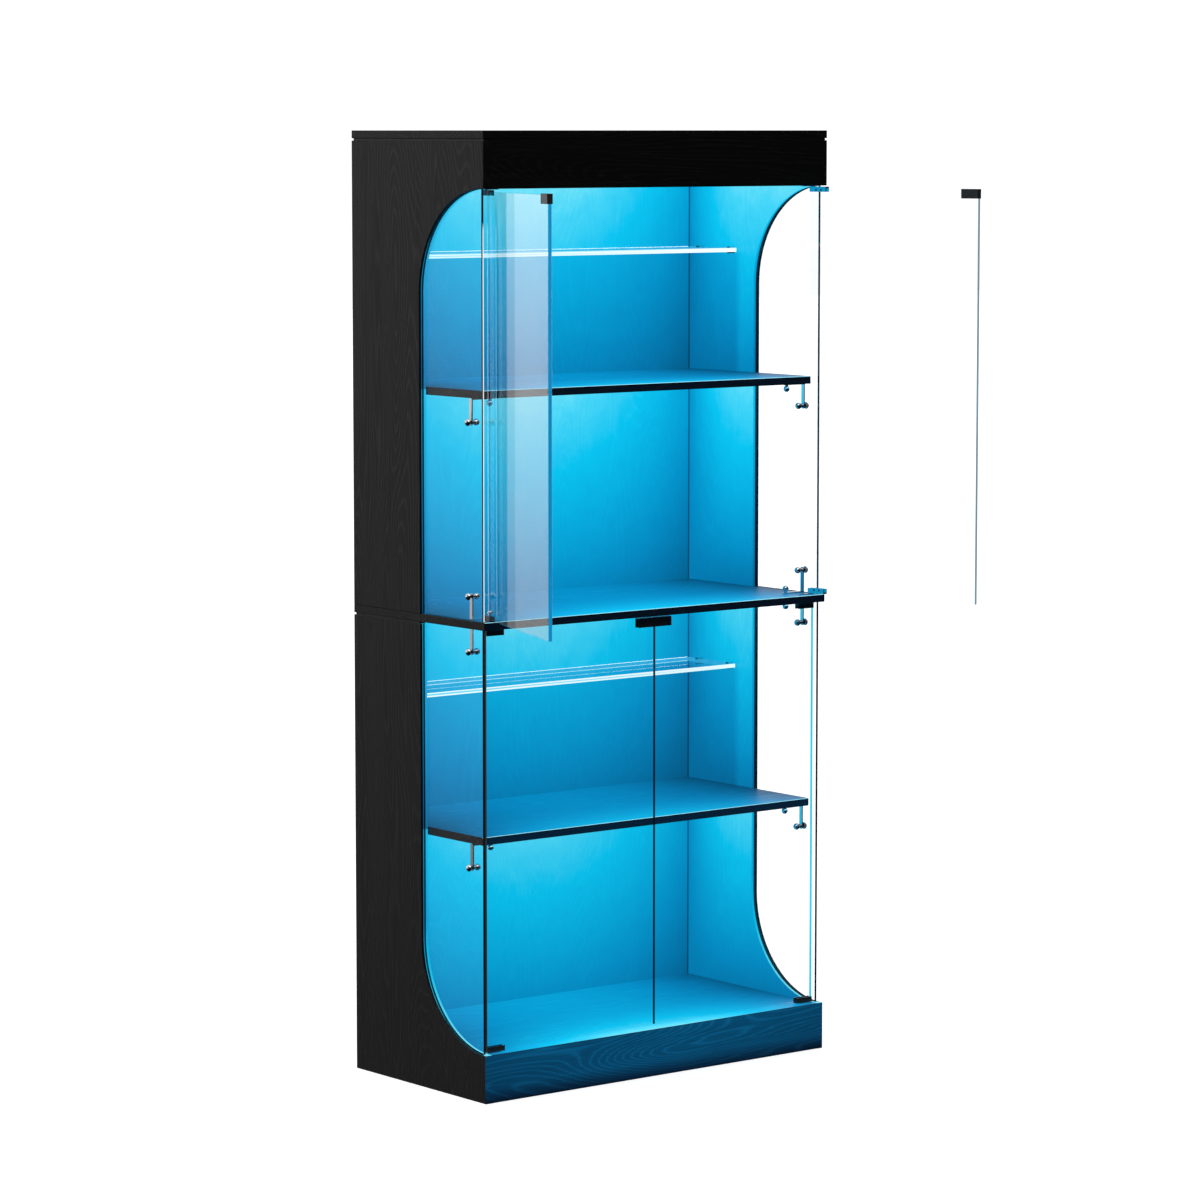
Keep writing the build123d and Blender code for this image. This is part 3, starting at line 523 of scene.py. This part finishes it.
LIT_METAL = metal("black_coat_lit", (0.02, 0.03, 0.035), 0.3, **COAT, light=(0.002, 0.30, 0.56))
CHROME = metal("chrome_plate", (0.82, 0.83, 0.85), 0.05, speckle=900.0, spread=0.04, bump=0.00001)
STEEL = metal("zinc_steel", (0.56, 0.56, 0.58), 0.3)
ALUMINIUM = metal("matt_aluminium", (0.68, 0.69, 0.70), 0.38)
BLACK_PLASTIC = metal(
    "black_plastic", (0.015, 0.015, 0.016), 0.45, metallic=0.0, speckle=1200.0, spread=0.1,
    bump=0.00008,
)
CLEAR_PLASTIC = metal("washer_plastic", (0.55, 0.57, 0.58), 0.25, metallic=0.0)
BEECH = raw_wood("dowel_beech")
FROSTED = frosted("light_cover")
STRIP = metal("strip_white", (0.8, 0.81, 0.81), 0.5, metallic=0.0)


# Materials on the CAD nodes -----------------------------------------------------------------------
# How far a face looks in a direction, as the cosine between the two
SQUARE_ON = 0.95
MOSTLY = 0.9
SLANTED = 0.5
HARDLY = 0.3
NEAR = 0.001


def dress(node, default, rules=()):
    """Give a node its material, and the faces that a rule picks out their own."""
    mesh = nodes[node].data
    mesh.materials.clear()
    mesh.materials.append(default)
    for material, _ in rules:
        mesh.materials.append(material)
    for face in mesh.polygons:
        face.material_index = 0
        for index, (_, picks) in enumerate(rules):
            if picks(face.center, face.normal):
                face.material_index = index + 1
                break


def facing(axis, sign, place=None):
    """A rule for faces that look along an axis, optionally at one place on it."""
    def picks(centre, normal):
        if normal[axis] * sign < MOSTLY:
            return False
        return place is None or abs(centre[axis] - place) < NEAR
    return picks


def is_edge(thin):
    """A rule for the faces of a pane that don't look along its thin direction."""
    def picks(centre, normal):
        return abs(normal.dot(thin)) < SQUARE_ON
    return picks


X, Y, Z = range(3)
LIT_EDGE_WIDTH = 0.0105
MID_DEPTH = 0.0
PLINTH_TOP = FLOOR_TOP + 0.01


def beside_plinth(centre, normal):
    """The front edge of a side panel at the height of the plinth."""
    return normal.y < -SLANTED and centre.y < FRONT + 2 * NEAR and centre.z < PLINTH_TOP


def front_rim(centre, normal):
    """The bevel on top of a shelf's front edge, which gets a painted line of light."""
    return normal.y < -SLANTED and normal.z > SLANTED and abs(centre.x) < INNER_X


# Faces that the light strips reach get a lit_wood material, with that light painted on
for name in ("upper_back_panel", "lower_back_panel"):
    dress(name, WOOD["upright"], ((WOOD["back"], facing(Y, -1)),))
for storey in ("upper", "lower"):
    for side_name, side in (("left", -1), ("right", 1)):
        def in_cut(centre, normal, side=side):
            """The cut edge of a side window, on the inner side of its groove."""
            in_window = FRONT + NEAR < centre.y < MID_DEPTH and abs(normal.x) < HARDLY
            return in_window and side * centre.x < INNER_X + LIT_EDGE_WIDTH

        rules = (
            (WOOD["side"], facing(X, -side, side * INNER_X)),
            (WOOD["plinth"], beside_plinth),
            (WOOD["cut"], in_cut),
        )
        dress(f"{storey}_side_panel_{side_name}", WOOD["upright"], rules)
        front_look = SPLIT_EDGE if (storey, side) == ("upper", -1) else DARK_EDGE
        pane_rules = ((front_look, facing(Y, -1)), (DARK_EDGE, is_edge(Vector((1, 0, 0)))))
        dress(f"{storey}_side_glass_{side_name}", CLEAR, pane_rules)
LIT_LEVELS = {"upper_wood_shelf": UPPER_SHELF, "lower_wood_shelf": LOWER_SHELF, "mid_panel": MID}
for name, box in LIT_LEVELS.items():
    rules = (
        (WOOD["top"], facing(Z, 1, box[1].z)),
        (WOOD["under"], facing(Z, -1)),
        (LIT_RIM, front_rim),
        (WOOD["nose"], facing(Y, -1)),
    )
    dress(name, WOOD["level"], rules)
dress("bottom_panel", WOOD["level"], ((WOOD["top"], facing(Z, 1, FLOOR_TOP)),))
dress("ceiling_panel", WOOD["level"], ((WOOD["under"], facing(Z, -1)),))
dress("top_panel", WOOD["level"])
dress("fascia_board", WOOD["rail"])
plinth_rules = ((WOOD["plinth"], facing(Y, -1)), (WOOD["top"], facing(Z, 1)))
dress("plinth_board", WOOD["rail"], plinth_rules)
dress("centre_support", WOOD["upright"])


def shelf_end(centre, normal):
    return abs(normal.x) > SLANTED


def shelf_back(centre, normal):
    return normal.y > MOSTLY


def shelf_back_rim(centre, normal):
    return normal.y > SLANTED and normal.z > SLANTED


# Painted light on the glass shelves' edges: cyan ends and back, a white line on the back rim, white
# bands in front
SHELF_RULES = (
    (END_EDGE, shelf_end),
    (BACK_LINE, shelf_back_rim),
    (BACK_EDGE, shelf_back),
    (WHITE_EDGE, is_edge(Vector((0, 0, 1)))),
)
for name in ("upper_glass_shelf", "lower_glass_shelf"):
    dress(name, SHELF, SHELF_RULES)

# Looks of each door's free edge and of its hinge edge, with the light they catch painted on
EDGE_LOOKS = {
    "upper_left_door": (DEEP_EDGE, GONE_EDGE),
    "upper_right_door": (PALE_EDGE, GONE_EDGE),
    "lower_left_door": (DARK_EDGE, DARK_EDGE),
    "lower_right_door": (DARK_EDGE, CYAN_EDGE),
}
for joint in frame["record"]["behaviour"]["joints"]:
    body = joint["child"]
    pivot = Vector(joint["pos_m"])
    glass_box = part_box(f"{body}_glass")
    outward = (glass_box[0] + glass_box[1]) / 2 - pivot
    outward.z = 0
    outward.normalize()
    free_look, hinge_look = EDGE_LOOKS[body]

    def free_edge(centre, normal, outward=outward):
        return normal.dot(outward) > SQUARE_ON

    def hinge_edge(centre, normal, outward=outward):
        return normal.dot(outward) < -SQUARE_ON

    widest = max(nodes[f"{body}_glass"].data.polygons, key=lambda face: face.area)
    thin = widest.normal.copy()
    rules = ((free_look, free_edge), (hinge_look, hinge_edge), (GONE_EDGE, is_edge(thin)))
    inward = thin.copy()
    if inward.dot(Vector((outward.y, -outward.x, 0)) * joint["axis"][2]) < 0:
        inward.negate()

    # The clamps' inner walls get the lit coat, with the strips' light painted on
    def inner_wall(centre, normal, inward=inward):
        return normal.dot(inward) > SQUARE_ON

    dress(f"{body}_glass", DOOR, rules)
    dress(f"{body}_hinge_clamps", BLACK_METAL, ((LIT_METAL, inner_wall),))
    dress(f"{body}_clip_handle", BLACK_METAL)
    dress(f"{body}_grub_screws", BLACK_METAL)
for name in ("glass_brackets", "bracket_bolts", "bracket_ball_nuts", "bracket_shelf_screws"):
    dress(name, CHROME)


def grip_end(centre, normal):
    return normal.z < -HARDLY or abs(normal.x) > MOSTLY


dress("shelf_studs", CHROME, ((BLACK_PLASTIC, grip_end),))
for name in ("door_pivot_plates", "fitting_screws"):
    dress(name, STEEL)
HIDDEN_BLACK = (
    "upper_magnetic_catch", "lower_magnetic_catch", "reveal_spacers", "light_controller",
    "power_inlet",
)
for name in HIDDEN_BLACK:
    dress(name, BLACK_PLASTIC)
for place in ("ceiling", "upper_shelf", "mid_panel", "lower_shelf"):
    dress(f"{place}_light_channel", ALUMINIUM)
    dress(f"{place}_light_diffuser", FROSTED)
dress("bracket_washers", CLEAR_PLASTIC)
dress("light_strips", STRIP)
dress("carcass_dowels", BEECH)

# Rounded pieces are shaded smooth up to a sharp edge
ROUNDED = (
    "bracket_bolts", "bracket_ball_nuts", "bracket_shelf_screws", "shelf_studs", "bracket_washers",
)
SHARP_ANGLE = math.radians(35)
for name in ROUNDED:
    nodes[name].data.shade_smooth()
    nodes[name].data.set_sharp_from_angle(angle=SHARP_ANGLE)


# Floor, lights and camera -------------------------------------------------------------------------
FLOOR_SIZE = 60.0
FLOOR_GLOW = 0.62


def floor_material():
    g = Graph("pale_floor")
    cloud = g.noise(g.coord, 1.3, 3.0)
    colour = g.ramp(cloud, ((0.3, (0.93, 0.93, 0.935)), (0.7, (0.95, 0.95, 0.953))))
    shader = g.principled(
        Base_Color=colour, Roughness=0.85, Specular_IOR_Level=0.1,
        Normal=g.bump(cloud, 0.0005, 0.1),
        Emission_Color=(1.0, 1.0, 1.0, 1.0), Emission_Strength=FLOOR_GLOW,
    )
    return g.finish(shader.outputs[0])


half = FLOOR_SIZE / 2
floor_corners = [(-half, -half, 0), (half, -half, 0), (half, half, 0), (-half, half, 0)]
floor_mesh = bpy.data.meshes.new("floor")
floor_mesh.from_pydata(floor_corners, [], [(0, 1, 2, 3)])
floor = bpy.data.objects.new("floor", floor_mesh)
scene.collection.objects.link(floor)
floor_mesh.materials.append(floor_material())
floor.visible_glossy = False
floor.visible_diffuse = False

world = bpy.data.worlds.new("studio")
scene.world = world
world.use_nodes = True

BACKDROP = 1.1
# Brightness of the studio by how far a direction points to the back, or upwards, from -1 to 1
BY_DEPTH = ((-1.0, 0.02), (-0.1, 0.03), (0.2, 0.35), (0.6, 0.62), (1.0, 1.0))
BY_HEIGHT = ((-0.30, 0.03), (-0.18, 0.26), (-0.08, 0.76), (0.0, 1.18), (1.0, 1.18))
OVERHEAD = ((-1.0, 0.0), (0.45, 0.0), (0.70, 0.5), (0.85, 1.0), (1.0, 1.0))


def studio_sky(tree):
    """White behind the object. As a light, a studio bright at the back and dark in front."""
    def add(kind, **settings):
        made = tree.nodes.new("ShaderNode" + kind)
        for key, value in settings.items():
            setattr(made, key, value)
        return made

    def curve(value, stops):
        made = add("ValToRGB")
        band = made.color_ramp
        while len(band.elements) < len(stops):
            band.elements.new(0.5)
        for element, (place, level) in zip(band.elements, stops):
            element.position = (place + 1) / 2
            element.color = (level, level, level, 1.0)
        spread = add("MapRange")
        spread.inputs["From Min"].default_value = -1.0
        tree.links.new(value, spread.inputs["Value"])
        tree.links.new(spread.outputs["Result"], made.inputs["Fac"])
        return made.outputs["Color"]

    def combine(operation, a, b):
        made = add("Math", operation=operation)
        tree.links.new(a, made.inputs[0])
        tree.links.new(b, made.inputs[1])
        return made.outputs[0]

    tree.nodes.clear()
    split = add("SeparateXYZ")
    tree.links.new(add("TexCoord").outputs["Generated"], split.inputs["Vector"])
    behind = curve(split.outputs["Y"], BY_DEPTH)
    lift = curve(split.outputs["Z"], BY_HEIGHT)
    above = curve(split.outputs["Z"], OVERHEAD)
    level = combine("MAXIMUM", combine("MULTIPLY", behind, lift), above)
    light = add("Background")
    tree.links.new(level, light.inputs["Color"])
    white = add("Background")
    white.inputs["Color"].default_value = (1.0, 1.0, 1.0, 1.0)
    white.inputs["Strength"].default_value = BACKDROP
    mix = add("MixShader")
    tree.links.new(add("LightPath").outputs["Is Camera Ray"], mix.inputs[0])
    tree.links.new(light.outputs[0], mix.inputs[1])
    tree.links.new(white.outputs[0], mix.inputs[2])
    tree.links.new(mix.outputs[0], add("OutputWorld").inputs["Surface"])


studio_sky(world.node_tree)
scene.view_settings.view_transform = "Standard"
scene.view_settings.look = "None"


def soft_light(name, place, target, size, power):
    """A square area light aimed at a point."""
    data = bpy.data.lights.new(name, "AREA")
    data.shape = "SQUARE"
    data.size = size
    data.energy = power
    lamp = bpy.data.objects.new(name, data)
    lamp.location = place
    lamp.rotation_mode = "QUATERNION"
    lamp.rotation_quaternion = (Vector(target) - Vector(place)).to_track_quat("-Z", "Y")
    scene.collection.objects.link(lamp)


soft_light("key_light", place=(-2.2, -2.6, 4.2), target=(0, 0, 1.0), size=2.4, power=30.0)

# The camera was fitted to the edges in the photo
YAW = math.radians(38.338)
PITCH = math.radians(6.039)
LENS = 133.54
SENSOR = 36.0
CAMERA_PLACE = Vector((-5.2892, -6.7131, 1.8024))
level = math.cos(PITCH)
forward = Vector((math.sin(YAW) * level, math.cos(YAW) * level, -math.sin(PITCH)))
right = Vector((math.cos(YAW), -math.sin(YAW), 0.0))
up = right.cross(forward)
camera_data = bpy.data.cameras.new("camera")
camera_data.sensor_width = SENSOR
camera_data.lens = LENS
camera_data.clip_end = 100.0
camera = bpy.data.objects.new("camera", camera_data)
turn = Matrix((right, up, -forward)).transposed().to_4x4()
camera.matrix_world = Matrix.Translation(CAMERA_PLACE) @ turn
scene.collection.objects.link(camera)
scene.camera = camera
